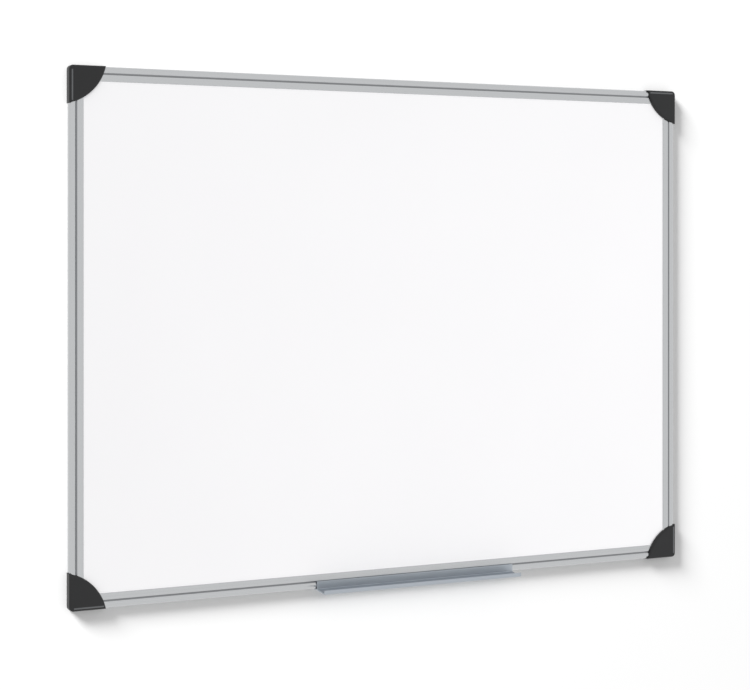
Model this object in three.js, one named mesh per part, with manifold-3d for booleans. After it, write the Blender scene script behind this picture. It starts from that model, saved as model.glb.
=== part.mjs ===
import * as THREE from "three";
import { mergeVertices } from "three/addons/utils/BufferGeometryUtils.js";
import Module from "manifold-3d";

const wasm = await Module();
wasm.setup();

// Framed magnetic whiteboard for a wall. Millimetres, +Z up, writing side towards -Y.
// The origin is on the wall, behind the middle of the board.

// Driving dimensions of the whole board, measured over the corner covers
const boardWidth = 800;
const boardHeight = 600;

// Layers from the wall forwards
const wallGap = 1.4;
const rearLipThickness = 0.8;
const backingThickness = 0.3;
const coreThickness = 4.2;
const sheetThickness = 0.4;
const glueLine = 0.05;
const panelPlay = 0.1;
const frontLipThickness = 1.2;

// Extruded rail, across the frame
const coverStandOut = 0.7;
const beadRadius = 4.0;
const beadRise = 1.2;
const grooveWidth = 1.0;
const grooveDepth = 0.5;
const frontLipWidth = 7.4;
const rearLipWidth = 6.5;
const railWall = 1.2;
const webThickness = 1.4;
const lipEdgeRadius = 0.4;
const railBackEdgeRadius = 0.6;

// Panel inside the rails
const panelEdgeGap = 0.5;
const panelCutPastRail = 1.5;

// Corner pieces that join the rails
const baseFloor = 2.0;
const baseWall = 1.6;
const baseInnerRadius = 1.2;
const ribThickness = 1.2;
const tongueLength = 26;
const tongueNoseChamfer = 1.0;
const wallScrewHoleRadius = 2.5;
const wallScrewHeadRadius = 4.8;
const wallScrewSeatDepth = 1.5;
const wallScrewBossRadius = 6.4;
const wallScrewBossHeight = 4.8;

// Removable corner covers, each held by three pegs
const coverReach = 42;
const coverArcRadius = 55;
const coverOverRail = 12;
const coverCornerRadius = 5;
const coverEdgeRadius = 2.5;
const coverWall = 1.5;
const coverRise = 2.0;
const coverStepWidth = 2.4;
const coverStepDepth = 0.4;
const coverRibWidth = 1.8;
const coverRibRise = 0.3;
const coverRibEndGap = 3;
const coverWallClearance = 0.6;
const pegRadius = 1.5;
const pegNearInset = 6.2;
const pegEndGap = 4.2;
const pegLength = 4.4;
const pegTipRadius = 1.1;
const socketWall = 1.3;

// Self-tapping screws that hold the tongues in the rails
const screwShankRadius = 1.45;
const screwTipRadius = 0.5;
const screwTipLength = 1.4;
const screwLength = 4.2;
const screwHeadRadius = 2.9;
const screwHeadFlatRadius = 1.45;
const screwHeadHeight = 1.0;
const screwHeadRimHeight = 0.4;
const screwPastRailEnd = 8;
const screwHeadSeat = 0.1;

// Clip-on pen tray
const trayLength = 262;
const trayCentre = 27;
const trayWall = 1.2;
const trayReach = 21.5;
const trayDrop = 1.8;
const trayLipHeight = 5;
const trayHookThickness = 1.0;
const trayCatchHeight = 2.0;
const trayBendRadius = 1.5;
const trayInnerBendRadius = 0.5;
const trayTipRadius = 0.3;

// Clearances and construction values
const quarterTurn = Math.PI / 2;
const fit = 0.3;
const overrun = 5;
const arcSteps = 12;
const filletSteps = 3;
const roundSteps = 16;

// Depths from the wall, all measured forwards
const channelBack = wallGap + rearLipThickness;
const backingBack = channelBack + panelPlay;
const coreBack = backingBack + backingThickness + glueLine;
const sheetBack = coreBack + coreThickness + glueLine;
const sheetFront = sheetBack + sheetThickness;
const channelFront = sheetFront + panelPlay;
const lipFront = channelFront + frontLipThickness;
const grooveFloor = lipFront - grooveDepth;
const beadCrest = lipFront + beadRise;
const beadCentreDepth = beadCrest - beadRadius;
const coverFront = beadCrest + coverRise;
const coverInnerFront = coverFront - coverWall;
const baseFront = coverInnerFront - fit;

// Distances inwards from the outer edge of the board
const railOuter = coverStandOut;
const beadCentre = railOuter + beadRadius;
const beadInner = beadCentre + beadRadius;
const chamberOuter = railOuter + railWall;
const chamberInner = beadInner - railWall;
const channelFloor = chamberInner + webThickness;
const lipStart = beadInner + grooveWidth;
const lipEnd = lipStart + frontLipWidth;
const rearLipEnd = channelFloor + rearLipWidth;
const panelEdge = channelFloor + panelEdgeGap;
const baseSide = coverWall + fit;

// Distances from the outer corner of the board, along its edges
const railEndInset = coverReach - coverOverRail;
const wallScrewInset = railEndInset / 2;
const screwInset = railEndInset + screwPastRailEnd;
const baseEnd = railEndInset - fit;
const pegFarInset = baseEnd - pegEndGap;
const panelCornerCut = railEndInset + panelCutPastRail - panelEdge;
const panelCutLine = 2 * panelEdge + panelCornerCut;
const baseCutLine = panelCutLine - fit * Math.SQRT2;
const coverRibStart = coverCornerRadius;
const coverRibEnd = coverReach - coverRibEndGap;

// The arc of a cover is flatter than a quarter circle, so its centre lies outside both edges
const coverArcCentre = (coverReach - Math.sqrt(2 * coverArcRadius ** 2 - coverReach ** 2)) / 2;

// Its facets are at least twice as long as the edge radius, so that the rounding can turn the tips
const coverArcStart = Math.asin(-coverArcCentre / coverArcRadius);
const coverArcLength = coverArcRadius * (quarterTurn - 2 * coverArcStart);
const coverArcSteps = Math.floor(coverArcLength / (2 * coverEdgeRadius));

// Materials
function finish(colour, roughness, metalness) {
  return new THREE.MeshStandardMaterial({ color: colour, roughness, metalness });
}
const whiteLacquer = () => finish(0xf1f2f6, 0.16, 0.0);
const brownHardboard = () => finish(0x7c5c3e, 0.85, 0.0);
const galvanisedSteel = () => finish(0x9da2a5, 0.42, 0.85);
const anodisedAluminium = () => finish(0xc3c4c8, 0.34, 0.9);
const trayAluminium = () => finish(0x969ba4, 0.48, 0.75);
const blackPlastic = () => finish(0x313234, 0.5, 0.0);
const zincSteel = () => finish(0xb5b6b2, 0.38, 0.85);

// Outlines

// One point of an outline, with the radius that rounds it
const corner = (x, y, radius = 0) => ({ x, y, radius });

// Points of an arc, both ends included
function arc(centreX, centreY, radius, from, to, steps) {
  const points = [];
  for (let step = 0; step <= steps; step++) {
    const angle = from + ((to - from) * step) / steps;
    points.push(corner(centreX + radius * Math.cos(angle), centreY + radius * Math.sin(angle)));
  }
  return points;
}

// Closed outline whose corners are rounded by their own radii
function rounded(corners) {
  const points = [];
  corners.forEach((here, index) => {
    const at = new THREE.Vector2(here.x, here.y);
    const before = corners[(index + corners.length - 1) % corners.length];
    const after = corners[(index + 1) % corners.length];
    if (here.radius <= 0) {
      points.push(at);
      return;
    }
    const back = new THREE.Vector2(before.x, before.y).sub(at).normalize();
    const ahead = new THREE.Vector2(after.x, after.y).sub(at).normalize();
    const halfAngle = Math.acos(back.dot(ahead)) / 2;
    const reach = here.radius / Math.tan(halfAngle);
    const bisector = back.clone().add(ahead).normalize();
    const centre = at.clone().addScaledVector(bisector, here.radius / Math.sin(halfAngle));
    const start = at.clone().addScaledVector(back, reach).sub(centre);
    const end = at.clone().addScaledVector(ahead, reach).sub(centre);
    const sweep = Math.atan2(start.cross(end), start.dot(end));
    for (let step = 0; step <= filletSteps; step++) {
      const turned = start.clone().rotateAround(new THREE.Vector2(), (sweep * step) / filletSteps);
      points.push(turned.add(centre));
    }
  });
  return points;
}

// Hollow part of a rail, and the tongue that fills it: flat sides under a round arch
function chamberOutline(inset) {
  const radius = beadRadius - railWall - inset;
  const back = wallGap + railWall + inset;
  return rounded([
    corner(chamberOuter + inset, back),
    corner(chamberInner - inset, back),
    ...arc(beadCentre, beadCentreDepth, radius, 0, Math.PI, arcSteps),
  ]);
}

// Section of a rail: inwards from the board's edge, forwards from the wall
function railSection() {
  const flankAngle = Math.asin((grooveFloor - beadCentreDepth) / beadRadius);
  const section = new THREE.Shape(
    rounded([
      corner(railOuter, wallGap, railBackEdgeRadius),
      corner(rearLipEnd, wallGap, lipEdgeRadius),
      corner(rearLipEnd, channelBack, lipEdgeRadius),
      corner(channelFloor, channelBack),
      corner(channelFloor, channelFront),
      corner(lipEnd, channelFront),
      corner(lipEnd, lipFront, lipEdgeRadius),
      corner(lipStart, lipFront, lipEdgeRadius),
      corner(lipStart, grooveFloor),
      ...arc(beadCentre, beadCentreDepth, beadRadius, flankAngle, Math.PI, arcSteps),
    ]),
  );
  section.holes.push(new THREE.Path(chamberOutline(0)));
  return section;
}

// Room that a rail needs inside a cover, open towards the wall
function railClearanceOutline() {
  const radius = beadRadius + fit;
  const flankAngle = Math.asin((lipFront + fit - beadCentreDepth) / radius);
  return rounded([
    corner(railOuter - fit, -overrun),
    corner(lipEnd + fit, -overrun),
    corner(lipEnd + fit, lipFront + fit),
    ...arc(beadCentre, beadCentreDepth, radius, flankAngle, Math.PI, arcSteps),
  ]);
}

// Square that covers a whole corner, centred on the outer corner of the board
function square(half) {
  return rounded([corner(-half, -half), corner(half, -half), corner(half, half), corner(-half, half)]);
}

// Corner cover with a curved inner side, drawn in from its edges by an inset
function coverOutline(inset) {
  const radius = coverArcRadius - inset;
  const startAngle = Math.asin((inset - coverArcCentre) / radius);
  const endAngle = quarterTurn - startAngle;
  return rounded([
    corner(inset, inset, coverCornerRadius - inset),
    ...arc(coverArcCentre, coverArcCentre, radius, startAngle, endAngle, coverArcSteps),
  ]);
}

// Strip that is cut from the front of a cover along one outer edge
function coverStepOutline() {
  return rounded([
    corner(-overrun, coverFront - coverStepDepth),
    corner(coverStepWidth, coverFront - coverStepDepth),
    corner(coverStepWidth, coverFront + overrun),
    corner(-overrun, coverFront + overrun),
  ]);
}

// Low rounded rib beside that strip
function coverRibOutline() {
  const ribEnd = coverStepWidth + coverRibWidth;
  const crest = coverFront + coverRibRise;
  return rounded([
    corner(coverStepWidth, coverFront - coverStepDepth),
    corner(ribEnd, coverFront - coverStepDepth),
    corner(ribEnd, crest, coverRibRise),
    corner(coverStepWidth, crest, coverRibRise),
  ]);
}

// Square of a corner piece with its inner corner cut off along the panel
function baseOutline(inset) {
  const low = baseSide + inset;
  const high = baseEnd - inset;
  const cut = baseCutLine - inset * Math.SQRT2 - high;
  return rounded([
    corner(low, low, Math.max(coverCornerRadius - low, baseInnerRadius)),
    corner(high, low),
    corner(high, cut, baseInnerRadius),
    corner(cut, high, baseInnerRadius),
    corner(low, high),
  ]);
}

// Panel layer with its four corners cut off
function panelOutline() {
  const right = boardWidth / 2 - panelEdge;
  const top = boardHeight / 2 - panelEdge;
  const rightCut = right - panelCornerCut;
  const topCut = top - panelCornerCut;
  return rounded([
    corner(-rightCut, -top),
    corner(rightCut, -top),
    corner(right, -topCut),
    corner(right, topCut),
    corner(rightCut, top),
    corner(-rightCut, top),
    corner(-right, topCut),
    corner(-right, -topCut),
  ]);
}

// Section of the tray: hook, flange, leg, catch, floor and lip
function traySection() {
  const hookTop = lipStart - fit;
  const hookBottom = hookTop - trayHookThickness;
  const hookTip = grooveFloor + fit;
  const flangeBack = beadCrest + fit;
  const flangeFront = flangeBack + trayWall;
  const legTop = railOuter - fit;
  const legBottom = legTop - trayWall;
  const catchTop = railOuter + trayCatchHeight;
  const catchFront = wallGap - fit;
  const lipForward = flangeFront + trayReach;
  const lipBottom = legBottom - trayDrop;
  const lipTop = lipBottom + trayLipHeight;
  const lipBack = lipForward - trayWall;
  return rounded([
    corner(hookBottom, hookTip, trayTipRadius),
    corner(hookBottom, flangeBack, trayTipRadius),
    corner(legTop, flangeBack, trayInnerBendRadius),
    corner(legTop, catchFront, trayTipRadius),
    corner(catchTop, catchFront, trayTipRadius),
    corner(catchTop, fit, trayTipRadius),
    corner(legBottom, fit, trayInnerBendRadius),
    corner(legBottom, flangeBack, trayBendRadius),
    corner(lipBottom, lipForward, trayBendRadius),
    corner(lipTop, lipForward, trayWall / 2),
    corner(lipTop, lipBack, trayWall / 2),
    corner(lipBottom + trayWall, lipBack, trayInnerBendRadius),
    corner(legTop, flangeFront, trayInnerBendRadius),
    corner(hookTop, flangeFront, trayInnerBendRadius),
    corner(hookTop, hookTip, trayTipRadius),
  ]);
}

// Extrusions

function extrude(outline, depth, bevel = {}) {
  const shape = outline instanceof THREE.Shape ? outline : new THREE.Shape(outline);
  return new THREE.ExtrudeGeometry(shape, { depth, bevelEnabled: false, ...bevel });
}

// Front-view outline (x, z) that runs forwards from one depth to another
function forwards(outline, from, to, bevel) {
  const geometry = extrude(outline, to - from, bevel);
  geometry.rotateX(quarterTurn);
  return geometry.translate(0, -from, 0);
}

// Section (inwards, forwards) that runs along the bottom edge
function alongBottom(outline, from, to, bevel) {
  const axes = new THREE.Matrix4().makeBasis(
    new THREE.Vector3(0, 0, 1),
    new THREE.Vector3(0, -1, 0),
    new THREE.Vector3(1, 0, 0),
  );
  return extrude(outline, to - from, bevel).applyMatrix4(axes).translate(from, 0, 0);
}

// The same section along the left edge, from a high end down to a low end
function alongSide(outline, from, to, bevel) {
  const axes = new THREE.Matrix4().makeBasis(
    new THREE.Vector3(1, 0, 0),
    new THREE.Vector3(0, -1, 0),
    new THREE.Vector3(0, 0, -1),
  );
  return extrude(outline, to - from, bevel).applyMatrix4(axes).translate(0, 0, to);
}

// Round bar that points forwards at (x, z)
function roundBar(x, z, radius, from, to, frontRadius = radius) {
  const geometry = new THREE.CylinderGeometry(radius, frontRadius, to - from, roundSteps);
  return geometry.translate(x, -(from + to) / 2, z);
}

// Straight rib between two points of the front view
function rib(start, end, from, to) {
  const length = Math.hypot(end.x - start.x, end.z - start.z);
  const geometry = new THREE.BoxGeometry(length, to - from, ribThickness);
  geometry.rotateY(-Math.atan2(end.z - start.z, end.x - start.x));
  return geometry.translate((start.x + end.x) / 2, -(from + to) / 2, (start.z + end.z) / 2);
}

// Solids for cutting and joining

function toSolid(geometry) {
  const plain = geometry.clone();
  plain.deleteAttribute("normal");
  plain.deleteAttribute("uv");
  const merged = mergeVertices(plain);
  const vertProperties = Float32Array.from(merged.attributes.position.array);
  const triVerts = Uint32Array.from(merged.index.array);
  return new wasm.Manifold(new wasm.Mesh({ numProp: 3, vertProperties, triVerts }));
}

function toGeometry(solid) {
  const mesh = solid.getMesh();
  const geometry = new THREE.BufferGeometry();
  geometry.setAttribute("position", new THREE.BufferAttribute(mesh.vertProperties, 3));
  geometry.setIndex(new THREE.BufferAttribute(mesh.triVerts, 1));
  geometry.computeVertexNormals();
  return geometry;
}

const joinAll = (geometries) => geometries.map(toSolid).reduce((whole, solid) => whole.add(solid));
const cutAll = (solid, geometries) =>
  geometries.map(toSolid).reduce((whole, cutter) => whole.subtract(cutter), solid);

// Pieces

function railGeometry(length) {
  const half = length / 2 - railEndInset;
  const screwPlace = length / 2 - screwInset;
  const body = toSolid(alongBottom(railSection(), -half, half));
  const holes = [-screwPlace, screwPlace].map((x) =>
    roundBar(x, beadCentre, screwShankRadius + fit, wallGap - overrun, wallGap + railWall + fit),
  );
  return toGeometry(cutAll(body, holes));
}

// Places of the cover's three pegs and of their sockets, from the outer corner
const pegPlaces = [
  { x: pegNearInset, z: pegNearInset },
  { x: pegFarInset, z: pegNearInset },
  { x: pegNearInset, z: pegFarInset },
];

// Where the two tongues take their screws
const screwPlaces = [
  { x: screwInset, z: beadCentre },
  { x: beadCentre, z: screwInset },
];

function tongues() {
  const outline = chamberOutline(fit);
  const root = baseEnd - fit;
  const tip = railEndInset + tongueLength - tongueNoseChamfer;
  const nose = {
    bevelEnabled: true,
    bevelThickness: tongueNoseChamfer,
    bevelSize: tongueNoseChamfer,
    bevelOffset: -tongueNoseChamfer,
    bevelSegments: 1,
  };
  return [alongBottom(outline, root, tip, nose), alongSide(outline, root, tip, nose)];
}

function baseGeometry() {
  const screw = { x: wallScrewInset, z: wallScrewInset };
  const socketRadius = pegRadius + fit + socketWall;
  const socketFloor = coverInnerFront - pegLength - fit;
  const shell = cutAll(toSolid(forwards(baseOutline(0), 0, baseFront)), [
    forwards(baseOutline(baseWall), baseFloor, baseFront + overrun),
  ]);
  const sockets = pegPlaces.map(({ x, z }) => roundBar(x, z, socketRadius, 0, baseFront));
  const ribs = [
    rib({ x: baseSide, z: wallScrewInset }, screw, 0, wallScrewBossHeight),
    rib({ x: wallScrewInset, z: baseSide }, screw, 0, wallScrewBossHeight),
    rib({ x: pegNearInset, z: pegNearInset }, screw, 0, wallScrewBossHeight),
    rib({ x: pegFarInset, z: pegNearInset }, screw, 0, wallScrewBossHeight),
    rib({ x: pegNearInset, z: pegFarInset }, screw, 0, wallScrewBossHeight),
  ];
  const boss = roundBar(screw.x, screw.z, wallScrewBossRadius, 0, wallScrewBossHeight);
  const holes = [
    roundBar(screw.x, screw.z, wallScrewHoleRadius, -overrun, baseFront),
    roundBar(screw.x, screw.z, wallScrewHeadRadius, wallScrewBossHeight - wallScrewSeatDepth, baseFront),
    ...pegPlaces.map(({ x, z }) => roundBar(x, z, pegRadius + fit, socketFloor, baseFront + overrun)),
    ...screwPlaces.map(({ x, z }) =>
      roundBar(x, z, screwShankRadius + fit, 0, wallGap + screwLength + fit),
    ),
  ];
  const body = shell.add(joinAll([...sockets, ...ribs, boss, ...tongues()]));
  return toGeometry(cutAll(body, holes));
}

function coverGeometry() {
  const roundEdge = {
    bevelEnabled: true,
    bevelThickness: coverEdgeRadius,
    bevelSize: coverEdgeRadius,
    bevelOffset: -coverEdgeRadius,
    bevelSegments: filletSteps,
  };
  const farEnd = coverReach + overrun;
  const backEnd = -overrun - coverEdgeRadius;
  const panelCorner = [
    corner(panelEdge - fit, farEnd),
    corner(panelEdge - fit, panelEdge - fit),
    corner(farEnd, panelEdge - fit),
    corner(farEnd, farEnd),
  ];
  const outside = forwards(coverOutline(0), -overrun, coverFront - coverEdgeRadius, roundEdge);
  const cuts = [
    forwards(coverOutline(coverWall), 0, coverInnerFront),
    forwards(square(farEnd), backEnd - overrun, coverWallClearance),
    alongBottom(railClearanceOutline(), railEndInset - fit, farEnd),
    alongSide(railClearanceOutline(), railEndInset - fit, farEnd),
    forwards(rounded(panelCorner), 0, sheetFront + fit),
    alongBottom(coverStepOutline(), -overrun, farEnd),
  ];
  const pegs = pegPlaces.map(({ x, z }) =>
    roundBar(x, z, pegTipRadius, coverInnerFront - pegLength, coverInnerFront + fit, pegRadius),
  );
  const edgeRib = alongBottom(coverRibOutline(), coverRibStart, coverRibEnd);
  return toGeometry(cutAll(toSolid(outside), cuts).add(joinAll([...pegs, edgeRib])));
}

// Screw that points forwards from its head, with its seat at depth zero
function screwGeometry() {
  const profile = [
    [0, -screwHeadHeight],
    [screwHeadFlatRadius, -screwHeadHeight],
    [screwHeadRadius, -screwHeadRimHeight],
    [screwHeadRadius, 0],
    [screwShankRadius, 0],
    [screwShankRadius, screwLength - screwTipLength],
    [screwTipRadius, screwLength],
    [0, screwLength],
  ].map(([radius, depth]) => new THREE.Vector2(radius, depth));
  const geometry = new THREE.LatheGeometry(profile, roundSteps);
  return geometry.rotateX(Math.PI);
}

// Assembly

function named(name, geometry, material) {
  const mesh = new THREE.Mesh(geometry, material);
  mesh.name = name;
  return mesh;
}

// Group that stands at an edge or corner and turns its inward side to the board's middle
function turnedGroup(x, z, turn, meshes) {
  const holder = new THREE.Group();
  holder.position.set(x, 0, z);
  holder.rotation.y = turn;
  holder.add(...meshes);
  return holder;
}

function panel() {
  const layer = (name, back, thickness, material) =>
    named(name, forwards(panelOutline(), back, back + thickness), material);
  const layers = new THREE.Group();
  layers.add(
    layer("backing_sheet", backingBack, backingThickness, galvanisedSteel()),
    layer("core_board", coreBack, coreThickness, brownHardboard()),
    layer("writing_sheet", sheetBack, sheetThickness, whiteLacquer()),
  );
  return layers;
}

function rails() {
  const edges = [
    { name: "bottom_rail", x: 0, z: -boardHeight / 2, turn: 0, length: boardWidth },
    { name: "right_rail", x: boardWidth / 2, z: 0, turn: -quarterTurn, length: boardHeight },
    { name: "top_rail", x: 0, z: boardHeight / 2, turn: 2 * quarterTurn, length: boardWidth },
    { name: "left_rail", x: -boardWidth / 2, z: 0, turn: quarterTurn, length: boardHeight },
  ];
  return edges.map(({ name, x, z, turn, length }) =>
    turnedGroup(x, z, turn, [named(name, railGeometry(length), anodisedAluminium())]),
  );
}

function corners() {
  const right = boardWidth / 2;
  const top = boardHeight / 2;
  const places = [
    { name: "bottom_left", x: -right, z: -top, turn: 0 },
    { name: "bottom_right", x: right, z: -top, turn: -quarterTurn },
    { name: "top_right", x: right, z: top, turn: 2 * quarterTurn },
    { name: "top_left", x: -right, z: top, turn: quarterTurn },
  ];
  return places.map(({ name, x, z, turn }) => {
    const screws = screwPlaces.map((place, index) => {
      const screw = named(`rail_screw_${name}_${index + 1}`, screwGeometry(), zincSteel());
      screw.position.set(place.x, -(wallGap - screwHeadSeat), place.z);
      return screw;
    });
    return turnedGroup(x, z, turn, [
      named(`corner_base_${name}`, baseGeometry(), blackPlastic()),
      named(`corner_cover_${name}`, coverGeometry(), blackPlastic()),
      ...screws,
    ]);
  });
}

function tray() {
  const half = trayLength / 2;
  const mesh = named("pen_tray", alongBottom(traySection(), -half, half), trayAluminium());
  mesh.position.set(trayCentre, 0, -boardHeight / 2);
  return mesh;
}

const whiteboard = new THREE.Group();
whiteboard.add(panel(), ...rails(), ...corners(), tray());

export default whiteboard;
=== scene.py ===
import math

import bmesh
import bpy
from mathutils import Matrix, Vector


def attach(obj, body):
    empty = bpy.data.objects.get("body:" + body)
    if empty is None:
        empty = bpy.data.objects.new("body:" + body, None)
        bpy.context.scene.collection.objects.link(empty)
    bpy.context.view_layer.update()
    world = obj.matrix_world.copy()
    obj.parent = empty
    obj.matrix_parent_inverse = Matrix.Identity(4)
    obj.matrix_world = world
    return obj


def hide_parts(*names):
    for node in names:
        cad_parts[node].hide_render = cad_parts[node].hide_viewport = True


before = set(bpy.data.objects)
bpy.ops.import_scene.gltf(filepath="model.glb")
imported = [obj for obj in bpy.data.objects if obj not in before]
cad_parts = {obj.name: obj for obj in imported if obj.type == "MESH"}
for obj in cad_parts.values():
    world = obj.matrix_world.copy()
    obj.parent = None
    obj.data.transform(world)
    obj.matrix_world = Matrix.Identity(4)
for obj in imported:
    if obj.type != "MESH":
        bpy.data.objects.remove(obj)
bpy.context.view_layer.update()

# Driving sizes in metres. u runs inwards from the board's outer edge, v forwards from the wall.
MM = 0.001
BOARD_WIDTH = 800 * MM
BOARD_HEIGHT = 600 * MM
FIT = 0.3 * MM
WALL_GAP = 1.4 * MM
LIP_THICKNESS = 0.8 * MM
SHEET_FRONT = 7.3 * MM
PANEL_PLAY = 0.1 * MM
FRONT_LIP = 1.2 * MM
RAIL_OUTER = 0.7 * MM
RAIL_WALL = 1.2 * MM
WEB = 1.4 * MM
BEAD_RADIUS = 4.0 * MM
BEAD_RISE = 1.2 * MM
GROOVE_WIDTH = 1.0 * MM
GROOVE_DEPTH = 0.5 * MM
LIP_WIDTH = 7.4 * MM
REAR_LIP_WIDTH = 6.5 * MM
PANEL_GAP = 0.5 * MM
COVER_REACH = 42 * MM
COVER_OVER_RAIL = 12 * MM
COVER_ARC_RADIUS = 55 * MM
COVER_CORNER = 5 * MM
COVER_EDGE = 2.5 * MM
COVER_RISE = 2.0 * MM
COVER_WALL = 1.5 * MM
COVER_BACK = 0.6 * MM
STEP_WIDTH = 2.4 * MM
STEP_DEPTH = 0.4 * MM
RIB_WIDTH = 1.8 * MM
RIB_RISE = 0.3 * MM
RIB_END_GAP = 3 * MM
PEG_RADIUS = 1.5 * MM
PEG_TIP_RADIUS = 1.1 * MM
PEG_LENGTH = 4.4 * MM
PEG_NEAR = 6.2 * MM
PEG_END_GAP = 4.2 * MM
SCREW_PAST_END = 8 * MM
SCREW_RADIUS = 1.45 * MM
SCREW_SEAT = 1.3 * MM
SCREW_HEAD_RADIUS = 2.9 * MM
SCREW_HEAD_HEIGHT = 1.0 * MM
SCREW_TIP_RADIUS = 0.5 * MM
SCREW_TIP_START = 2.8 * MM
SCREW_LENGTH = 4.2 * MM
TRAY_LENGTH = 262 * MM
TRAY_CENTRE = 27 * MM
TRAY_WALL = 1.2 * MM
TRAY_REACH = 21.5 * MM
TRAY_DROP = 1.8 * MM
TRAY_LIP = 5 * MM
TRAY_HOOK = 1.0 * MM
TRAY_CATCH = 2.0 * MM

# How far helper shapes run past what they cut, and how close points count as one
OVERRUN = 5 * MM
WELD = 1e-6

# Depths and insets that follow from them
REAR_LIP_FRONT = WALL_GAP + LIP_THICKNESS
CHANNEL_FRONT = SHEET_FRONT + PANEL_PLAY
LIP_FRONT = CHANNEL_FRONT + FRONT_LIP
GROOVE_FLOOR = LIP_FRONT - GROOVE_DEPTH
BEAD_CREST = LIP_FRONT + BEAD_RISE
BEAD_CENTRE = (RAIL_OUTER + BEAD_RADIUS, BEAD_CREST - BEAD_RADIUS)
CHAMBER_OUTER = RAIL_OUTER + RAIL_WALL
CHAMBER_INNER = RAIL_OUTER + 2 * BEAD_RADIUS - RAIL_WALL
CHANNEL_FLOOR = CHAMBER_INNER + WEB
LIP_START = RAIL_OUTER + 2 * BEAD_RADIUS + GROOVE_WIDTH
LIP_END = LIP_START + LIP_WIDTH
REAR_LIP_END = CHANNEL_FLOOR + REAR_LIP_WIDTH
PANEL_EDGE = CHANNEL_FLOOR + PANEL_GAP
COVER_FRONT = BEAD_CREST + COVER_RISE
COVER_INNER_FRONT = COVER_FRONT - COVER_WALL
RAIL_END = COVER_REACH - COVER_OVER_RAIL
SCREW_INSET = RAIL_END + SCREW_PAST_END
PEG_FAR = RAIL_END - FIT - PEG_END_GAP
PEG_PLACES = ((PEG_NEAR, PEG_NEAR), (PEG_FAR, PEG_NEAR), (PEG_NEAR, PEG_FAR))
COVER_ARC_CENTRE = (COVER_REACH - math.sqrt(2 * COVER_ARC_RADIUS**2 - COVER_REACH**2)) / 2

# The four corners, each with the turn that carries the bottom left one there
CORNERS = {
    "bottom_left": (-0.5, -0.5, 0),
    "bottom_right": (0.5, -0.5, -90),
    "top_right": (0.5, 0.5, 180),
    "top_left": (-0.5, 0.5, 90),
}


# Finishes


def finish_nodes(name):
    material = bpy.data.materials.new(name)
    material.use_nodes = True
    tree = material.node_tree
    tree.nodes.clear()
    output = tree.nodes.new("ShaderNodeOutputMaterial")
    shader = tree.nodes.new("ShaderNodeBsdfPrincipled")
    tree.links.new(shader.outputs["BSDF"], output.inputs["Surface"])
    return material, tree, shader


def add_node(tree, kind, inputs=None, **settings):
    node = tree.nodes.new(kind)
    for key, value in settings.items():
        setattr(node, key, value)
    for key, value in (inputs or {}).items():
        if isinstance(value, bpy.types.NodeSocket):
            tree.links.new(value, node.inputs[key])
        else:
            node.inputs[key].default_value = value
    return node


def place_on_piece(tree, stretch):
    where = add_node(tree, "ShaderNodeTexCoord")
    mapped = add_node(
        tree, "ShaderNodeMapping", {"Vector": where.outputs["Object"], "Scale": stretch}
    )
    return mapped.outputs["Vector"]


def noise_on_piece(tree, scale, detail, stretch=(1, 1, 1), **more):
    inputs = {"Vector": place_on_piece(tree, stretch), "Scale": scale, "Detail": detail, **more}
    return add_node(tree, "ShaderNodeTexNoise", inputs).outputs["Fac"]


def spread_value(tree, value, low, high):
    ranged = add_node(tree, "ShaderNodeMapRange", {"Value": value, "To Min": low, "To Max": high})
    return ranged.outputs["Result"]


def add_scaled(tree, first, weight, second):
    both = add_node(tree, "ShaderNodeMath", operation="MULTIPLY_ADD")
    tree.links.new(first, both.inputs[0])
    both.inputs[1].default_value = weight
    tree.links.new(second, both.inputs[2])
    return both.outputs[0]


def two_tones(tree, factor, first, second):
    mix = add_node(tree, "ShaderNodeMix", data_type="RGBA")
    tree.links.new(factor, mix.inputs["Factor"])
    mix.inputs[6].default_value = (*first, 1)
    mix.inputs[7].default_value = (*second, 1)
    return mix.outputs[2]


def raise_surface(tree, shader, height, strength, distance):
    bump = add_node(
        tree, "ShaderNodeBump", {"Height": height, "Strength": strength, "Distance": distance}
    )
    tree.links.new(bump.outputs["Normal"], shader.inputs["Normal"])


def colour_and_gloss(tree, shader, tone_by, tones, gloss_by, roughness):
    """Let one pattern move the colour between two tones, and one the roughness."""
    tree.links.new(two_tones(tree, tone_by, *tones), shader.inputs["Base Color"])
    tree.links.new(spread_value(tree, gloss_by, *roughness), shader.inputs["Roughness"])


def white_lacquer():
    material, tree, shader = finish_nodes("white_lacquer")
    peel = noise_on_piece(tree, 320.0, 2.0)
    cloud = noise_on_piece(tree, 5.0, 3.0)
    colour_and_gloss(tree, shader, cloud, LACQUER_TONES, cloud, (0.14, 0.22))
    shader.inputs["Coat Weight"].default_value = 0.4
    shader.inputs["Coat Roughness"].default_value = 0.06
    raise_surface(tree, shader, peel, 0.06, 0.00005)
    return material


def drawn_aluminium(name, stretch, tones, roughness, line_strength):
    """Metal with die lines along the piece, from noise that is stretched that way."""
    material, tree, shader = finish_nodes(name)
    lines = noise_on_piece(tree, 1.0, 3.0, stretch, Roughness=0.55)
    patches = noise_on_piece(tree, 14.0, 2.0)
    uneven = add_scaled(tree, lines, 0.6, patches)
    colour_and_gloss(tree, shader, lines, tones, uneven, roughness)
    shader.inputs["Metallic"].default_value = 1.0
    raise_surface(tree, shader, lines, line_strength, 0.00003)
    return material


def rail_finishes(name, tones, roughness):
    """Finish of a rail that lies across the board and of one that stands upright."""
    along, crosswise = 1.2, 1500
    return {
        way: drawn_aluminium(f"{name}_{way}", stretch, tones, roughness, 0.03)
        for way, stretch in (
            ("across", (along, crosswise, crosswise)),
            ("upright", (crosswise, crosswise, along)),
        )
    }


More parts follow.
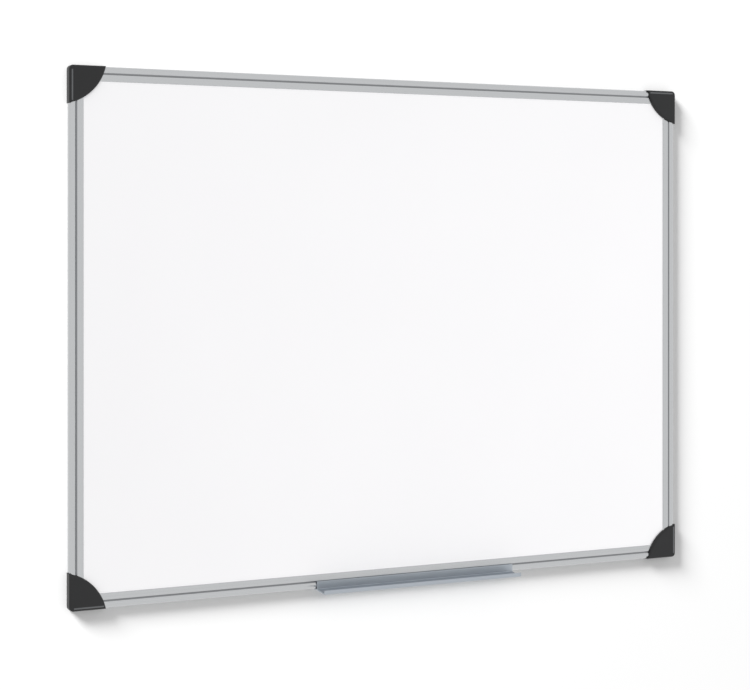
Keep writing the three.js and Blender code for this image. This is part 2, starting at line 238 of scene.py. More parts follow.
def moulded_plastic(name, tones, roughness):
    material, tree, shader = finish_nodes(name)
    grit = noise_on_piece(tree, 2200.0, 3.0)
    flow = noise_on_piece(tree, 60.0, 2.0)
    colour_and_gloss(tree, shader, flow, tones, grit, roughness)
    shader.inputs["Specular IOR Level"].default_value = 0.35
    raise_surface(tree, shader, grit, 0.22, 0.00004)
    return material


def galvanised_steel():
    material, tree, shader = finish_nodes("galvanised_steel")
    where = place_on_piece(tree, (1, 1, 1))
    spangle = add_node(tree, "ShaderNodeTexVoronoi", {"Vector": where, "Scale": 85.0})
    cell = add_node(tree, "ShaderNodeSeparateColor", {"Color": spangle.outputs["Color"]})
    haze = noise_on_piece(tree, 9.0, 4.0)
    mottle = add_scaled(tree, cell.outputs["Red"], 0.5, haze)
    colour_and_gloss(tree, shader, mottle, ZINC_TONES, cell.outputs["Green"], (0.34, 0.52))
    shader.inputs["Metallic"].default_value = 0.55
    raise_surface(tree, shader, spangle.outputs["Distance"], 0.08, 0.0002)
    return material


def pressed_fibre():
    material, tree, shader = finish_nodes("hardboard")
    fibre = noise_on_piece(tree, 420.0, 6.0, (1, 6, 1), Distortion=1.2)
    colour_and_gloss(tree, shader, fibre, FIBRE_TONES, fibre, (0.75, 0.95))
    raise_surface(tree, shader, fibre, 0.4, 0.0002)
    return material


def bright_zinc():
    material, tree, shader = finish_nodes("zinc_screw")
    wear = noise_on_piece(tree, 700.0, 4.0)
    colour_and_gloss(tree, shader, wear, SCREW_TONES, wear, (0.26, 0.42))
    shader.inputs["Metallic"].default_value = 1.0
    raise_surface(tree, shader, wear, 0.08, 0.00005)
    return material


LACQUER_TONES = ((0.872, 0.866, 0.880), (0.900, 0.895, 0.906))
RAIL_TONES = ((0.485, 0.495, 0.505), (0.555, 0.565, 0.575))
# Darker metal for the groove faces: painted shade where the groove lies in shadow
GROOVE_SHADE_TONES = ((0.20, 0.205, 0.215), (0.26, 0.265, 0.275))
TRAY_TONES = ((0.39, 0.425, 0.465), (0.45, 0.485, 0.525))
PLASTIC_TONES = ((0.0090, 0.0092, 0.0098), (0.0130, 0.0133, 0.0140))
# Paler plastic for the rib crest: a painted highlight, a light line put into the colour
RIB_HIGHLIGHT_TONES = ((0.085, 0.088, 0.092), (0.115, 0.118, 0.123))
ZINC_TONES = ((0.40, 0.42, 0.44), (0.68, 0.70, 0.72))
FIBRE_TONES = ((0.16, 0.095, 0.05), (0.33, 0.22, 0.13))
SCREW_TONES = ((0.55, 0.55, 0.53), (0.76, 0.76, 0.73))
LACQUER = white_lacquer()
RAIL_METAL = rail_finishes("rail_aluminium", RAIL_TONES, (0.18, 0.26))
GROOVE_SHADE_METAL = rail_finishes("groove_aluminium", GROOVE_SHADE_TONES, (0.3, 0.42))
TRAY_METAL = drawn_aluminium("tray_aluminium", (7, 1800, 1800), TRAY_TONES, (0.34, 0.5), 0.2)
PLASTIC = moulded_plastic("black_plastic", PLASTIC_TONES, (0.36, 0.52))
RIB_HIGHLIGHT_PLASTIC = moulded_plastic("black_plastic_rubbed_rib", RIB_HIGHLIGHT_TONES, (0.26, 0.38))
GALVANISED = galvanised_steel()
HARDBOARD = pressed_fibre()
ZINC = bright_zinc()


# Outlines of the sections, as lists of (u, v) points


def corner(u, v, radius=0.0):
    return (u, v, radius)


def on_circle(centre, radius, angle):
    return centre[0] + radius * math.cos(angle), centre[1] + radius * math.sin(angle)


def arc_points(centre, radius, start, end, steps):
    angles = [start + (end - start) * step / steps for step in range(steps + 1)]
    return [corner(*on_circle(centre, radius, angle)) for angle in angles]


def rounded(corners, steps=5, guard=0.06 * MM):
    """Closed outline with rounded corners. Guard points beside them keep the flats flat."""
    points = []
    for index, (u, v, radius) in enumerate(corners):
        here = Vector((u, v))
        if radius <= 0:
            points.append(here)
            continue
        back = (Vector(corners[index - 1][:2]) - here).normalized()
        ahead = (Vector(corners[(index + 1) % len(corners)][:2]) - here).normalized()
        half = math.acos(max(-1, min(1, back.dot(ahead)))) / 2
        reach = radius / math.tan(half)
        centre = here + (back + ahead).normalized() * radius / math.sin(half)
        start = here + back * reach - centre
        end = here + ahead * reach - centre
        sweep = math.atan2(start.x * end.y - start.y * end.x, start.dot(end))
        points.append(here + back * (reach + guard))
        for step in range(steps + 1):
            turn = Matrix.Rotation(sweep * step / steps, 2)
            points.append(centre + turn @ start)
        points.append(here + ahead * (reach + guard))
    return points


def groove_points():
    """Hollow between the lip and the bead, no deeper than the groove."""
    flank = math.asin((LIP_FRONT - BEAD_CENTRE[1]) / BEAD_RADIUS)
    near = BEAD_CENTRE[0] + BEAD_RADIUS * math.cos(flank)
    half = (LIP_START - near) / 2
    radius = (half**2 + GROOVE_DEPTH**2) / (2 * GROOVE_DEPTH)
    reach = math.asin(half / radius)
    centre = (near + half, GROOVE_FLOOR + radius)
    return arc_points(centre, radius, reach - math.pi / 2, -reach - math.pi / 2, 14)[1:-1]


def rail_section():
    flank = math.asin((LIP_FRONT - BEAD_CENTRE[1]) / BEAD_RADIUS)
    outer = rounded(
        [
            corner(RAIL_OUTER, WALL_GAP, 0.6 * MM),
            corner(REAR_LIP_END, WALL_GAP, 0.39 * MM),
            corner(REAR_LIP_END, REAR_LIP_FRONT, 0.39 * MM),
            corner(CHANNEL_FLOOR, REAR_LIP_FRONT),
            corner(CHANNEL_FLOOR, CHANNEL_FRONT),
            corner(LIP_END, CHANNEL_FRONT),
            corner(LIP_END, LIP_FRONT, 1.1 * MM),
            corner(LIP_START, LIP_FRONT, 0.2 * MM),
            *groove_points(),
            *arc_points(BEAD_CENTRE, BEAD_RADIUS, flank, math.pi, 30),
        ]
    )
    chamber = rounded(
        [
            corner(CHAMBER_OUTER, WALL_GAP + RAIL_WALL),
            corner(CHAMBER_INNER, WALL_GAP + RAIL_WALL),
            *arc_points(BEAD_CENTRE, BEAD_RADIUS - RAIL_WALL, 0, math.pi, 16),
        ]
    )
    return [outer, chamber]


def tray_section():
    hook_top = LIP_START - FIT
    hook_bottom = hook_top - TRAY_HOOK
    hook_tip = GROOVE_FLOOR + FIT
    flange_back = BEAD_CREST + FIT
    flange_front = flange_back + TRAY_WALL
    leg_top = RAIL_OUTER - FIT
    leg_bottom = leg_top - TRAY_WALL
    catch_top = RAIL_OUTER + TRAY_CATCH
    catch_front = WALL_GAP - FIT
    lip_front = flange_front + TRAY_REACH
    lip_back = lip_front - TRAY_WALL
    lip_bottom = leg_bottom - TRAY_DROP
    lip_top = lip_bottom + TRAY_LIP
    return [
        rounded(
            [
                corner(hook_bottom, hook_tip, 0.3 * MM),
                corner(hook_bottom, flange_back, 0.3 * MM),
                corner(leg_top, flange_back, 0.5 * MM),
                corner(leg_top, catch_front, 0.3 * MM),
                corner(catch_top, catch_front, 0.3 * MM),
                corner(catch_top, FIT, 0.3 * MM),
                corner(leg_bottom, FIT, 0.5 * MM),
                corner(leg_bottom, flange_back, 1.5 * MM),
                corner(lip_bottom, lip_front, 1.5 * MM),
                corner(lip_top, lip_front, 0.55 * MM),
                corner(lip_top, lip_back, 0.55 * MM),
                corner(lip_bottom + TRAY_WALL, lip_back, 0.5 * MM),
                corner(leg_top, flange_front, 0.5 * MM),
                corner(hook_top, flange_front, 0.5 * MM),
                corner(hook_top, hook_tip, 0.3 * MM),
            ]
        )
    ]


# Node tree for the extruded pieces: a section swept along a straight length


def extrusion_tree():
    tree = bpy.data.node_groups.new("extruded_section", "GeometryNodeTree")
    sockets = tree.interface
    sockets.new_socket("Section", in_out="INPUT", socket_type="NodeSocketGeometry")
    sockets.new_socket("Start", in_out="INPUT", socket_type="NodeSocketFloat")
    sockets.new_socket("Length", in_out="INPUT", socket_type="NodeSocketFloat")
    sockets.new_socket("Finish", in_out="INPUT", socket_type="NodeSocketMaterial")
    sockets.new_socket("Bar", in_out="OUTPUT", socket_type="NodeSocketGeometry")
    given = add_node(tree, "NodeGroupInput")
    made = add_node(tree, "NodeGroupOutput")
    loops = add_node(tree, "GeometryNodeMeshToCurve", {"Mesh": given.outputs["Section"]})
    face = add_node(tree, "GeometryNodeFillCurve", {"Curve": loops.outputs["Curve"]}, mode="NGONS")
    upwards = add_node(tree, "ShaderNodeCombineXYZ", {"Z": 1.0})
    swept = add_node(
        tree,
        "GeometryNodeExtrudeMesh",
        {
            "Mesh": face.outputs["Mesh"],
            "Offset": upwards.outputs["Vector"],
            "Offset Scale": given.outputs["Length"],
            "Individual": False,
        },
    )
    lid = add_node(tree, "GeometryNodeFlipFaces", {"Mesh": face.outputs["Mesh"]})
    both = add_node(tree, "GeometryNodeJoinGeometry")
    tree.links.new(swept.outputs["Mesh"], both.inputs["Geometry"])
    tree.links.new(lid.outputs["Mesh"], both.inputs["Geometry"])
    closed = add_node(
        tree,
        "GeometryNodeMergeByDistance",
        {"Geometry": both.outputs["Geometry"], "Distance": WELD},
    )
    along = add_node(tree, "ShaderNodeCombineXYZ", {"Z": given.outputs["Start"]})
    moved = add_node(
        tree,
        "GeometryNodeTransform",
        {"Geometry": closed.outputs["Geometry"], "Translation": along.outputs["Vector"]},
    )
    whole = add_node(tree, "GeometryNodeRealizeInstances", {"Geometry": moved.outputs["Geometry"]})
    finished = add_node(
        tree,
        "GeometryNodeSetMaterial",
        {"Geometry": whole.outputs["Geometry"], "Material": given.outputs["Finish"]},
    )
    tree.links.new(finished.outputs["Geometry"], made.inputs["Bar"])
    return tree


def section_mesh(name, loops):
    mesh = bpy.data.meshes.new(name)
    points, edges = [], []
    for loop in loops:
        first = len(points)
        points += [(p[0], p[1], 0) for p in loop]
        edges += [(first + i, first + (i + 1) % len(loop)) for i in range(len(loop))]
    mesh.from_pydata(points, edges, [])
    return mesh


def set_inputs(modifier, values):
    for item in modifier.node_group.interface.items_tree:
        if item.item_type == "SOCKET" and item.in_out == "INPUT" and item.name in values:
            modifier[item.identifier] = values[item.name]


def evaluated_mesh(piece, name):
    bpy.context.view_layer.update()
    shown = piece.evaluated_get(bpy.context.evaluated_depsgraph_get())
    mesh = bpy.data.meshes.new_from_object(shown)
    mesh.name = name
    return mesh


def new_piece(name, mesh):
    piece = bpy.data.objects.new(name, mesh)
    bpy.context.scene.collection.objects.link(piece)
    return piece


def smooth_by_angle(mesh, degrees=30):
    mesh.shade_smooth()
    mesh.set_sharp_from_angle(angle=math.radians(degrees))


# Carries (u, v, length) of the bottom edge to its place: x along the board, -y forwards, z up
ALONG_BOTTOM = Matrix(((0, 0, 1, 0), (0, -1, 0, 0), (1, 0, 0, 0), (0, 0, 0, 1)))


def at_edge(x, z, turn):
    return Matrix.Translation((x, 0, z)) @ Matrix.Rotation(math.radians(turn), 4, "Y")


def extruded_piece(name, tree, loops, start, length, finish, place):
    holder = new_piece(name, section_mesh(name, loops))
    modifier = holder.modifiers.new("sweep", "NODES")
    modifier.node_group = tree
    set_inputs(modifier, {"Start": start, "Length": length, "Finish": finish})
    mesh = evaluated_mesh(holder, name)
    holder.modifiers.clear()
    holder.data = mesh
    mesh.transform(place @ ALONG_BOTTOM)
    return holder


def cut_from(piece, cutters):
    combine(piece, cutters, "DIFFERENCE")


def join_to(piece, additions):
    combine(piece, additions, "UNION")


def combine(piece, others, operation):
    for other in others:
        modifier = piece.modifiers.new(operation.lower(), "BOOLEAN")
        modifier.operation = operation
        modifier.solver = "EXACT"
        modifier.object = other
    mesh = evaluated_mesh(piece, piece.data.name)
    piece.modifiers.clear()
    piece.data = mesh
    for other in others:
        bpy.data.objects.remove(other)


def rod(name, x, z, radius, back, front, sides=48, front_radius=None):
    """Round rod that points forwards at (x, z) of the front view."""
    shape = bmesh.new()
    bmesh.ops.create_cone(
        shape,
        cap_ends=True,
        segments=sides,
        radius1=radius,
        radius2=radius if front_radius is None else front_radius,
        depth=front - back,
    )
    shape.transform(
        Matrix.Translation((x, -(back + front) / 2, z)) @ Matrix.Rotation(math.radians(90), 4, "X")
    )
    mesh = bpy.data.meshes.new(name)
    shape.to_mesh(mesh)
    shape.free()
    return new_piece(name, mesh)


def make_rails(tree):
    rails = {
        "bottom_rail": (0, -BOARD_HEIGHT / 2, 0, BOARD_WIDTH, "across"),
        "right_rail": (BOARD_WIDTH / 2, 0, -90, BOARD_HEIGHT, "upright"),
        "top_rail": (0, BOARD_HEIGHT / 2, 180, BOARD_WIDTH, "across"),
        "left_rail": (-BOARD_WIDTH / 2, 0, 90, BOARD_HEIGHT, "upright"),
    }
    hole_radius = SCREW_RADIUS + FIT
    hole_front = WALL_GAP + RAIL_WALL + FIT
    for node, (x, z, turn, length, way) in rails.items():
        half = length / 2 - RAIL_END
        rail = extruded_piece(
            f"{node}_extrusion",
            tree,
            rail_section(),
            -half,
            2 * half,
            RAIL_METAL[way],
            Matrix.Identity(4),
        )
        far = length / 2 - SCREW_INSET
        cut_from(
            rail,
            [
                rod("screw_hole", place, BEAD_CENTRE[0], hole_radius, -MM, hole_front)
                for place in (-far, far)
            ],
        )
        # Painted shade: the groove faces take the darker metal
        paint_groove_shade(rail.data, GROOVE_SHADE_METAL[way])
        rail.data.transform(at_edge(x, z, turn))
        smooth_by_angle(rail.data)
        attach(rail, "board")
        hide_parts(node)


def paint_groove_shade(mesh, finish):
    """Paint the groove faces in a darker, rougher metal: painted shade in the recess between lip
    and bead.
    """
    mesh.materials.append(finish)
    for face in mesh.polygons:
        depth = -face.center.y
        in_groove = GROOVE_FLOOR - MM / 10 < depth < LIP_FRONT - MM / 20
        beside_bead = LIP_START - 2 * GROOVE_WIDTH < face.center.z < LIP_START + MM / 20
        if in_groove and beside_bead and abs(face.normal.x) < 0.5:
            face.material_index = len(mesh.materials) - 1


def make_tray(tree):
    tray = extruded_piece(
        "pen_tray_channel",
        tree,
        tray_section(),
        -TRAY_LENGTH / 2,
        TRAY_LENGTH,
        TRAY_METAL,
        at_edge(TRAY_CENTRE, -BOARD_HEIGHT / 2, 0),
    )
    smooth_by_angle(tray.data)
    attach(tray, "tray")
    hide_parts("pen_tray")
    return tray


# Corner covers


def cover_outline(inset, corner_steps=10, arc_steps=48):
    """Outline of a cover, drawn in from its edges, with as many points for each inset."""
    radius = COVER_ARC_RADIUS - inset
    start = math.asin((inset - COVER_ARC_CENTRE) / radius)
    points = []
    for step in range(corner_steps + 1):
        angle = math.radians(270 - 90 * step / corner_steps)
        points.append(on_circle((COVER_CORNER, COVER_CORNER), COVER_CORNER - inset, angle))
    for step in range(arc_steps + 1):
        angle = math.pi / 2 - start - (math.pi / 2 - 2 * start) * step / arc_steps
        points.append(on_circle((COVER_ARC_CENTRE, COVER_ARC_CENTRE), radius, angle))
    return points


def lofted(name, rings):
    """Closed shell through rings of (x, z) points, each at its own distance from the wall."""
    mesh = bpy.data.meshes.new(name)
    points, faces = [], []
    count = len(rings[0][0])
    for outline, depth in rings:
        points += [(x, -depth, z) for x, z in outline]
    for ring in range(len(rings) - 1):
        for i in range(count):
            j = (i + 1) % count
            a, b = ring * count, (ring + 1) * count
            faces.append((a + i, a + j, b + j, b + i))
    faces.append(tuple(range(count))[::-1])
    faces.append(tuple(range((len(rings) - 1) * count, len(rings) * count)))
    mesh.from_pydata(points, [], faces)
    shape = bmesh.new()
    shape.from_mesh(mesh)
    bmesh.ops.recalc_face_normals(shape, faces=shape.faces)
    shape.to_mesh(mesh)
    shape.free()
    return new_piece(name, mesh)


def bar_along(name, tree, outline, start, end, upright=False):
    """Bar with a section of (u, v) points, along the bottom edge or up the left one."""
    bar = extruded_piece(name, tree, [outline], start, end - start, PLASTIC, Matrix.Identity(4))
    if upright:
        swap = Matrix(((0, 0, 1, 0), (0, 1, 0, 0), (1, 0, 0, 0), (0, 0, 0, 1)))
        bar.data.transform(swap)
        bar.data.flip_normals()
    return bar


def rail_clearance():
    radius = BEAD_RADIUS + FIT
    flank = math.asin((LIP_FRONT + FIT - BEAD_CENTRE[1]) / radius)
    return rounded(
        [
            corner(RAIL_OUTER - FIT, -OVERRUN),
            corner(LIP_END + FIT, -OVERRUN),
            corner(LIP_END + FIT, LIP_FRONT + FIT),
            *arc_points(BEAD_CENTRE, radius, flank, math.pi, 30),
        ]
    )


def step_section():
    low = COVER_FRONT - STEP_DEPTH
    over = 3 * MM
    return rounded(
        [
            corner(-over, low),
            corner(STEP_WIDTH, low, 0.12 * MM),
            corner(STEP_WIDTH, COVER_FRONT + over),
            corner(-over, COVER_FRONT + over),
        ],
        guard=0.02 * MM,
    )


def rib_section():
    foot = COVER_FRONT - STEP_DEPTH / 2
    middle = STEP_WIDTH + RIB_WIDTH / 2
    return [
        Vector((STEP_WIDTH, foot)),
        Vector((STEP_WIDTH + RIB_WIDTH, foot)),
        Vector((STEP_WIDTH + RIB_WIDTH, COVER_FRONT)),
        *(
            Vector(
                (
                    middle + RIB_WIDTH / 2 * math.cos(math.radians(angle)),
                    COVER_FRONT + 0.95 * RIB_RISE * math.sin(math.radians(angle)),
                )
            )
            for angle in range(15, 180, 15)
        ),
        Vector((STEP_WIDTH, COVER_FRONT)),
    ]


def cover_mesh(tree):
    rings = [(cover_outline(0.0), COVER_BACK)]
    edge_steps = 8
    for step in range(edge_steps + 1):
        angle = math.radians(90 * step / edge_steps)
        inset = COVER_EDGE * (1 - math.cos(angle))
        depth = COVER_FRONT - COVER_EDGE + COVER_EDGE * math.sin(angle)
        rings.append((cover_outline(inset), depth))
    rings.append((cover_outline(COVER_EDGE + 0.1 * MM), COVER_FRONT))
    cover = lofted("corner_cover", rings)
    inside = cover_outline(COVER_WALL)
    far = COVER_REACH + OVERRUN
    edge = PANEL_EDGE - FIT
    panel = [(edge, edge), (far, edge), (far, far), (edge, far)]
    cut_from(
        cover,
        [
            lofted("hollow", [(inside, -MM), (inside, COVER_INNER_FRONT)]),
            bar_along("rail_below", tree, rail_clearance(), RAIL_END - FIT, far),
            bar_along("rail_beside", tree, rail_clearance(), RAIL_END - FIT, far, upright=True),
            lofted("panel_corner", [(panel, -MM), (panel, SHEET_FRONT + FIT)]),
            bar_along("step", tree, step_section(), -OVERRUN, far),
        ],
    )
    rib = bar_along("edge_rib", tree, rib_section(), COVER_CORNER, COVER_REACH - RIB_END_GAP)
    join_to(cover, [rib])
    paint_rib_highlight(cover.data)
    return cover


def paint_rib_highlight(mesh):
    """Give the crest of the rib its own paler, glossier finish: a painted highlight along the rib
    line.
    """
    mesh.materials.clear()
    mesh.materials.append(PLASTIC)
    mesh.materials.append(RIB_HIGHLIGHT_PLASTIC)
    middle = STEP_WIDTH + RIB_WIDTH / 2
    for face in mesh.polygons:
        raised = -face.center.y > COVER_FRONT + RIB_RISE / 4
        on_rib = abs(face.center.z - middle) < RIB_WIDTH / 2
        face.material_index = 1 if raised and on_rib else 0


def make_covers(tree):
    pattern = cover_mesh(tree)
    peg_tip = COVER_INNER_FRONT - PEG_LENGTH
    peg_root = COVER_INNER_FRONT + 0.2 * MM
    pegs = [
        rod("peg", x, z, PEG_TIP_RADIUS, peg_tip, peg_root, 24, PEG_RADIUS) for x, z in PEG_PLACES
    ]
    shape = bmesh.new()
    shape.from_mesh(pattern.data)
    for peg in pegs:
        shape.from_mesh(peg.data)
        bpy.data.objects.remove(peg)
    mesh = bpy.data.meshes.new("corner_cover")
    shape.to_mesh(mesh)
    shape.free()
    bpy.data.objects.remove(pattern)
    for name, (side, level, turn) in CORNERS.items():
        copy = mesh.copy()
        copy.name = f"corner_cover_{name}_shell"
        copy.transform(at_edge(side * BOARD_WIDTH, level * BOARD_HEIGHT, turn))
        # The second slot holds the painted highlight on the rib crest
        copy.materials.append(PLASTIC)
        copy.materials.append(RIB_HIGHLIGHT_PLASTIC)
        smooth_by_angle(copy, 32)
        cover = new_piece(copy.name, copy)
        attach(cover, f"cover_{name}")
        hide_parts(f"corner_cover_{name}")


# Corner pieces under the covers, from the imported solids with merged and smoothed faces


def make_bases():
    for name in CORNERS:
        node = f"corner_base_{name}"
        shape = bmesh.new()
        shape.from_mesh(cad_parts[node].data)
        bmesh.ops.remove_doubles(shape, verts=shape.verts, dist=WELD)
        bmesh.ops.dissolve_limit(
            shape, angle_limit=math.radians(0.5), verts=shape.verts, edges=shape.edges
        )
        mesh = bpy.data.meshes.new(f"{node}_moulding")
        shape.to_mesh(mesh)
        shape.free()
        mesh.materials.clear()
        mesh.materials.append(PLASTIC)
        smooth_by_angle(mesh, 35)
        piece = new_piece(mesh.name, mesh)
        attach(piece, "board")
        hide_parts(node)


# Rail screws


def screw_pattern():
    """Pan-head screw with a cross recess, its seat at the origin and its head behind it."""
    crown = ((0.0, 1.0), (1.3, 1.0), (2.0, 0.86), (2.5, 0.62), (2.8, 0.34), (2.9, 0.1))
    profile = [
        *((radius * MM, height * SCREW_HEAD_HEIGHT) for radius, height in crown),
        (SCREW_HEAD_RADIUS, 0.0),
        (SCREW_RADIUS, 0.0),
        (SCREW_RADIUS, -SCREW_TIP_START),
        (SCREW_TIP_RADIUS, -SCREW_LENGTH),
        (0.0, -SCREW_LENGTH),
    ]
    shape = bmesh.new()
    line = [shape.verts.new((radius, height, 0)) for radius, height in profile]
    edges = [shape.edges.new((line[i], line[i + 1])) for i in range(len(line) - 1)]
    bmesh.ops.spin(
        shape,
        geom=line + edges,
        cent=(0, 0, 0),
        axis=(0, 1, 0),
        angle=2 * math.pi,
        steps=32,
        use_merge=True,
    )
    bmesh.ops.remove_doubles(shape, verts=shape.verts, dist=1e-7)
    bmesh.ops.recalc_face_normals(shape, faces=shape.faces)
    mesh = bpy.data.meshes.new("screw_pattern")
    shape.to_mesh(mesh)
    shape.free()
    screw = new_piece("screw_pattern", mesh)
    cutters = []
    mouth_length, floor_length, slot_width, slot_middle = 3.0 * MM, 1.4 * MM, 0.55 * MM, 0.7
    for turn in (20, 110):
        blade = bmesh.new()
        bmesh.ops.create_cube(blade, size=1)
        for vertex in blade.verts:
            x, y, z = vertex.co
            length = mouth_length if y > 0 else floor_length
            vertex.co = Vector((x * length, (slot_middle + y) * MM, z * slot_width))
        blade.transform(Matrix.Rotation(math.radians(turn), 4, "Y"))
        blade_mesh = bpy.data.meshes.new("recess")
        blade.to_mesh(blade_mesh)
        blade.free()
        cutters.append(new_piece("recess", blade_mesh))
    cut_from(screw, cutters)
    smooth_by_angle(screw.data, 28)
    return screw


def screw_tree():
    tree = bpy.data.node_groups.new("screws_on_places", "GeometryNodeTree")
    sockets = tree.interface
    sockets.new_socket("Places", in_out="INPUT", socket_type="NodeSocketGeometry")
    sockets.new_socket("Screw", in_out="INPUT", socket_type="NodeSocketObject")
    sockets.new_socket("Turn", in_out="INPUT", socket_type="NodeSocketFloat")
    sockets.new_socket("Seed", in_out="INPUT", socket_type="NodeSocketInt")
    sockets.new_socket("Finish", in_out="INPUT", socket_type="NodeSocketMaterial")
    sockets.new_socket("Screws", in_out="OUTPUT", socket_type="NodeSocketGeometry")
    given = add_node(tree, "NodeGroupInput")
    made = add_node(tree, "NodeGroupOutput")
    one = add_node(tree, "GeometryNodeObjectInfo", {"Object": given.outputs["Screw"]})
    chance = add_node(
        tree, "FunctionNodeRandomValue", {"Seed": given.outputs["Seed"]}, data_type="FLOAT"
    )
    tree.links.new(given.outputs["Turn"], chance.inputs[3])
    turned = add_node(tree, "ShaderNodeCombineXYZ", {"Y": chance.outputs[1]})
    spin = add_node(tree, "FunctionNodeEulerToRotation", {"Euler": turned.outputs["Vector"]})
    set_out = add_node(
        tree,
        "GeometryNodeInstanceOnPoints",
        {
            "Points": given.outputs["Places"],
            "Instance": one.outputs["Geometry"],
            "Rotation": spin.outputs["Rotation"],
        },
    )
    whole = add_node(
        tree, "GeometryNodeRealizeInstances", {"Geometry": set_out.outputs["Instances"]}
    )
    finished = add_node(
        tree,
        "GeometryNodeSetMaterial",
        {"Geometry": whole.outputs["Geometry"], "Material": given.outputs["Finish"]},
    )
    tree.links.new(finished.outputs["Geometry"], made.inputs["Screws"])
    return tree


def make_screws():
    pattern = screw_pattern()
    places, replaced = [], []
    for name, (side, level, turn) in CORNERS.items():
        carry = at_edge(side * BOARD_WIDTH, level * BOARD_HEIGHT, turn)
        in_rails = ((SCREW_INSET, BEAD_CENTRE[0]), (BEAD_CENTRE[0], SCREW_INSET))
        for number, (x, z) in enumerate(in_rails, 1):
            places.append(carry @ Vector((x, -SCREW_SEAT, z)))
            replaced.append(f"rail_screw_{name}_{number}")
    mesh = bpy.data.meshes.new("rail_screws")
    mesh.from_pydata(places, [], [])
    screws = new_piece("rail_screws", mesh)
    modifier = screws.modifiers.new("screws", "NODES")
    modifier.node_group = screw_tree()
    set_inputs(modifier, {"Screw": pattern, "Turn": 2 * math.pi, "Seed": 11, "Finish": ZINC})
    result = evaluated_mesh(screws, "rail_screws")
    screws.modifiers.clear()
    screws.data = result
    bpy.data.objects.remove(pattern)
    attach(screws, "board")
    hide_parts(*replaced)


def dress_node(name, finish):
    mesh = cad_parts[name].data
    mesh.materials.clear()
    mesh.materials.append(finish)


# Camera, light and stage. The camera's values come from fitting the board's edges in the photo.

CAMERA_PLACE = (-0.9314, -1.8998, 0.1035)
CAMERA_HEADING = -25.532
CAMERA_LENS = 84.8
CAMERA_SHIFT_UP = -0.135
SURROUNDINGS = 0.6
FLOOR_LEVEL = -0.9
PAINT_TONE = (0.86, 0.86, 0.86)


def photo_camera():
    data = bpy.data.cameras.new("photo_camera")
    data.lens = CAMERA_LENS
    data.sensor_width = 36
    data.shift_y = CAMERA_SHIFT_UP
    data.clip_start = 0.1
    data.clip_end = 50
    camera = bpy.data.objects.new("photo_camera", data)
    camera.location = CAMERA_PLACE
    camera.rotation_euler = (math.radians(90), 0, math.radians(CAMERA_HEADING))
    bpy.context.scene.collection.objects.link(camera)
    bpy.context.scene.camera = camera


def soft_light(name, place, target, size, power):
    data = bpy.data.lights.new(name, "AREA")
    data.shape = "RECTANGLE"
    data.size, data.size_y = size
    data.energy = power
    light = bpy.data.objects.new(name, data)
    light.location = place
    aim = Vector(target) - Vector(place)
    light.rotation_euler = aim.to_track_quat("-Z", "Y").to_euler()
    bpy.context.scene.collection.objects.link(light)
    return light


def link_math(tree, operation, first, second):
    result = add_node(tree, "ShaderNodeMath", operation=operation)
    tree.links.new(first, result.inputs[0])
    tree.links.new(second, result.inputs[1])
    return result.outputs[0]


def studio_world():
    """White where it is seen, mirrored or looked through, and calmer as light."""
    world = bpy.data.worlds.new("studio")
    bpy.context.scene.world = world
    world.use_nodes = True
    tree = world.node_tree
    tree.nodes.clear()
    output = add_node(tree, "ShaderNodeOutputWorld")
    rays = add_node(tree, "ShaderNodeLightPath").outputs
    seen = link_math(tree, "MAXIMUM", rays["Is Camera Ray"], rays["Is Transmission Ray"])
    shown = link_math(tree, "MAXIMUM", seen, rays["Is Glossy Ray"])
    strength = spread_value(tree, shown, SURROUNDINGS, 1.0)
    sky = add_node(tree, "ShaderNodeBackground", {"Color": (1, 1, 1, 1), "Strength": strength})
    tree.links.new(sky.outputs["Background"], output.inputs["Surface"])


def one_sided(name, tone):
    """Pale paint that only the camera sees, and only from the front, so no view is blocked."""
    material = bpy.data.materials.new(name)
    material.use_nodes = True
    tree = material.node_tree
    tree.nodes.clear()
    output = add_node(tree, "ShaderNodeOutputMaterial")
    rays = add_node(tree, "ShaderNodeLightPath")
    side = add_node(tree, "ShaderNodeNewGeometry")
    front = add_node(tree, "ShaderNodeMath", operation="SUBTRACT")
    front.inputs[0].default_value = 1.0
    tree.links.new(side.outputs["Backfacing"], front.inputs[1])
    shown = link_math(tree, "MULTIPLY", rays.outputs["Is Camera Ray"], front.outputs[0])
    paint = add_node(tree, "ShaderNodeBsdfDiffuse", {"Color": (*tone, 1)})
    clear = add_node(tree, "ShaderNodeBsdfTransparent")
    mix = add_node(tree, "ShaderNodeMixShader")
    tree.links.new(shown, mix.inputs[0])
    tree.links.new(clear.outputs["BSDF"], mix.inputs[1])
    tree.links.new(paint.outputs["BSDF"], mix.inputs[2])
    tree.links.new(mix.outputs["Shader"], output.inputs["Surface"])
    return material


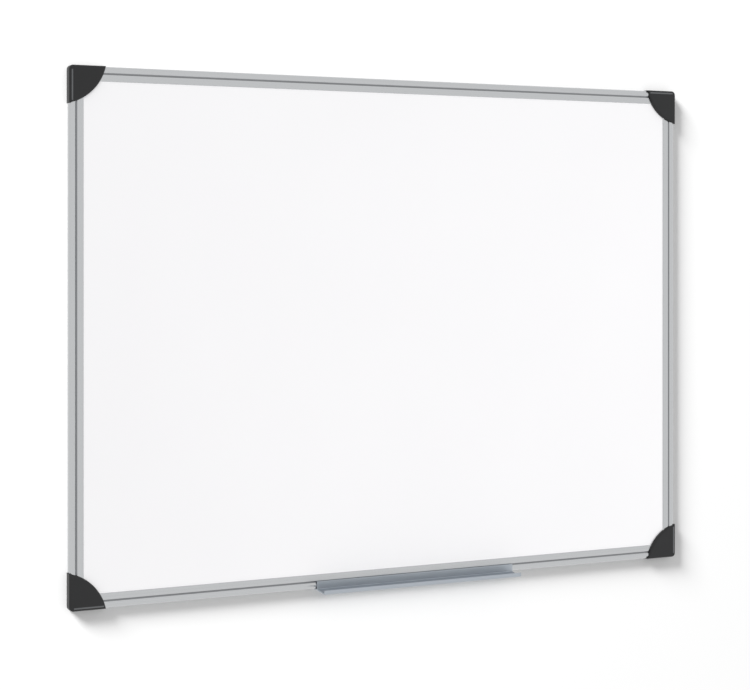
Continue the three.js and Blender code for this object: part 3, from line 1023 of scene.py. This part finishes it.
def stage_plane(name, corners, material):
    mesh = bpy.data.meshes.new(name)
    mesh.from_pydata(corners, [], [(0, 1, 2, 3)])
    mesh.materials.append(material)
    plane = new_piece(name, mesh)
    return plane


def make_stage():
    reach, near, far, top = 3, -4, 2, 2
    stage_plane(
        "floor",
        [
            (-reach, near, FLOOR_LEVEL),
            (reach, near, FLOOR_LEVEL),
            (reach, far, FLOOR_LEVEL),
            (-reach, far, FLOOR_LEVEL),
        ],
        one_sided("floor_paint", PAINT_TONE),
    )
    wall_y = 0.1 * MM
    return stage_plane(
        "wall",
        [
            (-reach, wall_y, FLOOR_LEVEL),
            (reach, wall_y, FLOOR_LEVEL),
            (reach, wall_y, top),
            (-reach, wall_y, top),
        ],
        one_sided("wall_paint", PAINT_TONE),
    )


def all_but(piece):
    """Collection that light linking takes for everything except one piece."""
    others = bpy.data.collections.new(f"all_but_{piece.name}")
    others.objects.link(piece)
    others.collection_objects[0].light_linking.link_state = "EXCLUDE"
    return others


def make_lights(wall, tray):
    """A raking light for the wall alone, and a key and a fill light for all but the wall."""
    raking = soft_light("raking_light", (-8.8, -3.9, 8.5), (0, 0, 0), (4.4, 4.4), 3500)
    only_wall = bpy.data.collections.new("wall_only")
    only_wall.objects.link(wall)
    raking.light_linking.receiver_collection = only_wall
    raking.light_linking.blocker_collection = all_but(tray)
    all_but_wall = all_but(wall)
    for light in (
        soft_light("key_light", (-2.0, -3.4, 1.7), (0, 0, 0), (2.4, 2.0), 34),
        soft_light("fill_light", (1.8, -3.3, -0.4), (0.1, 0, 0), (2.0, 1.6), 57),
    ):
        light.visible_glossy = False
        light.light_linking.receiver_collection = all_but_wall


extrusion = extrusion_tree()
make_rails(extrusion)
tray = make_tray(extrusion)
make_covers(extrusion)
make_bases()
make_screws()
dress_node("writing_sheet", LACQUER)
dress_node("core_board", HARDBOARD)
dress_node("backing_sheet", GALVANISED)
wall = make_stage()
make_lights(wall, tray)
studio_world()
photo_camera()
bpy.context.scene.view_settings.view_transform = "Standard"

bpy.context.view_layer.update()
